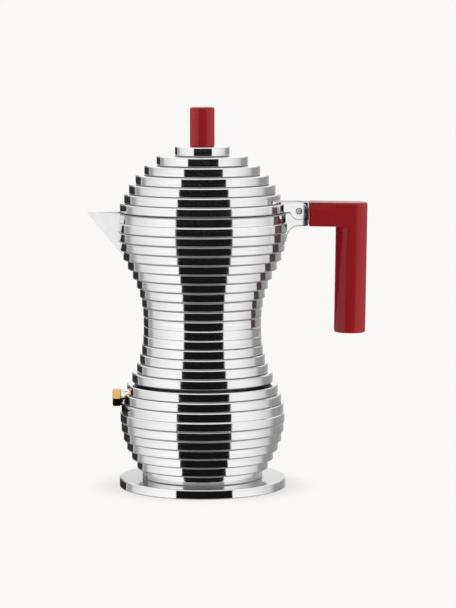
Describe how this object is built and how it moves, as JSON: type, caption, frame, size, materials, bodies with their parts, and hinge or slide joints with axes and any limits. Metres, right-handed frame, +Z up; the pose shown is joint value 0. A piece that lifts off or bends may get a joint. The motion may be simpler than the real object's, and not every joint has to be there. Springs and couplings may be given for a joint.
{
  "type": "moka pot",
  "caption": "Stovetop coffee maker: boiler, screwed-on waisted collector with V spout, hinged domed lid, red handle and knob, all in stepped rings.",
  "frame": {"origin": "centre of the boiler's flat base face, on the pot's axis", "axes": "+Z up along the pot's axis, -X towards the spout and the safety valve, +X towards the handle"},
  "size_m": [0.1474, 0.0892, 0.2],
  "materials": {
    "polished_aluminium": "turned and mirror polished cast aluminium",
    "cast_aluminium": "as-cast satin aluminium",
    "sheet_aluminium": "pressed satin sheet aluminium",
    "silicone": "matte off-white silicone rubber",
    "brass": "bright turned brass",
    "copper": "soft copper sealing ring",
    "steel": "bright stainless steel",
    "red_plastic": "satin red thermoplastic"
  },
  "bodies": {
    "boiler": {"boiler_shell": "polished_aluminium", "valve_body": "brass", "valve_washer": "copper", "valve_spring": "steel", "valve_retainer": "brass"},
    "valve_poppet": {"valve_plunger": "brass", "valve_seal": "silicone"},
    "funnel": {"funnel": "sheet_aluminium", "funnel_sieve": "sheet_aluminium"},
    "seal": {"gasket": "silicone"},
    "strainer": {"filter_plate": "sheet_aluminium"},
    "collector": {"collector_shell": "polished_aluminium", "riser_column": "cast_aluminium", "hinge_pin": "steel", "handle": "red_plastic", "handle_screw": "steel"},
    "lid": {"lid_shell": "polished_aluminium", "knob": "red_plastic", "knob_insert": "brass", "knob_screw": "steel", "knob_washer": "steel"}
  },
  "joints": [
    {"name": "lift_off", "type": "slide", "parent": "boiler", "child": "seal", "axis": [0, 0, 1], "range_m": [0, 0.13]},
    {"name": "thread_rise", "type": "slide", "parent": "seal", "child": "strainer", "axis": [0, 0, 1], "range_m": [0, 0.007]},
    {"name": "unscrew", "type": "hinge", "parent": "strainer", "child": "collector", "pos_m": [0, 0, 0], "axis": [0, 0, 1], "range_deg": [0, 720]},
    {"name": "funnel_lift", "type": "slide", "parent": "boiler", "child": "funnel", "axis": [0, 0, 1], "range_m": [0, 0.065]},
    {"name": "lid_hinge", "type": "hinge", "parent": "collector", "child": "lid", "pos_m": [0.0505, 0, 0.14595], "axis": [0, 1, 0], "range_deg": [0, 95]},
    {"name": "valve_lift", "type": "slide", "parent": "boiler", "child": "valve_poppet", "axis": [-1, 0, 0], "range_m": [0, 0.0012], "stiffness_N_per_m": 1700, "springref_m": -0.0007, "deforming": ["valve_spring"]}
  ],
  "couplings": [
    {"joint": "thread_rise", "follows": "unscrew", "m_per_rad": 0.000557},
    {"joint": "funnel_lift", "follows": "lift_off", "ratio": 0.5}
  ]
}
